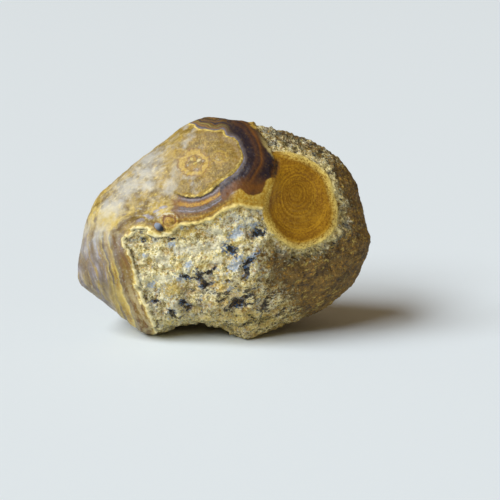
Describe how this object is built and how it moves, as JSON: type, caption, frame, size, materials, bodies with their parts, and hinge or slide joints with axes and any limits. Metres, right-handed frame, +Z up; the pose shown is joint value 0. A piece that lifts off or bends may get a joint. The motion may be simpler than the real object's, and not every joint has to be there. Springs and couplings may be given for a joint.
{
  "type": "raw desert agate",
  "caption": "Natural raw agate nodule for display: irregular and worn, with a banded shoulder, a round ringed eye face and a rough broken pocket, resting on low uneven feet.",
  "frame": {"origin": "on the surface that the stone rests on, under the middle of its box", "axes": "+X to the right of the stone's front, along its longest extent; +Y away from a viewer of the front, along its shortest extent; +Z up"},
  "size_m": [0.065, 0.0418, 0.0471],
  "materials": {
    "agate_stone": "worn satin rind with a rough broken pocket"
  },
  "bodies": {
    "root": {"agate": "agate_stone"}
  },
  "joints": []
}
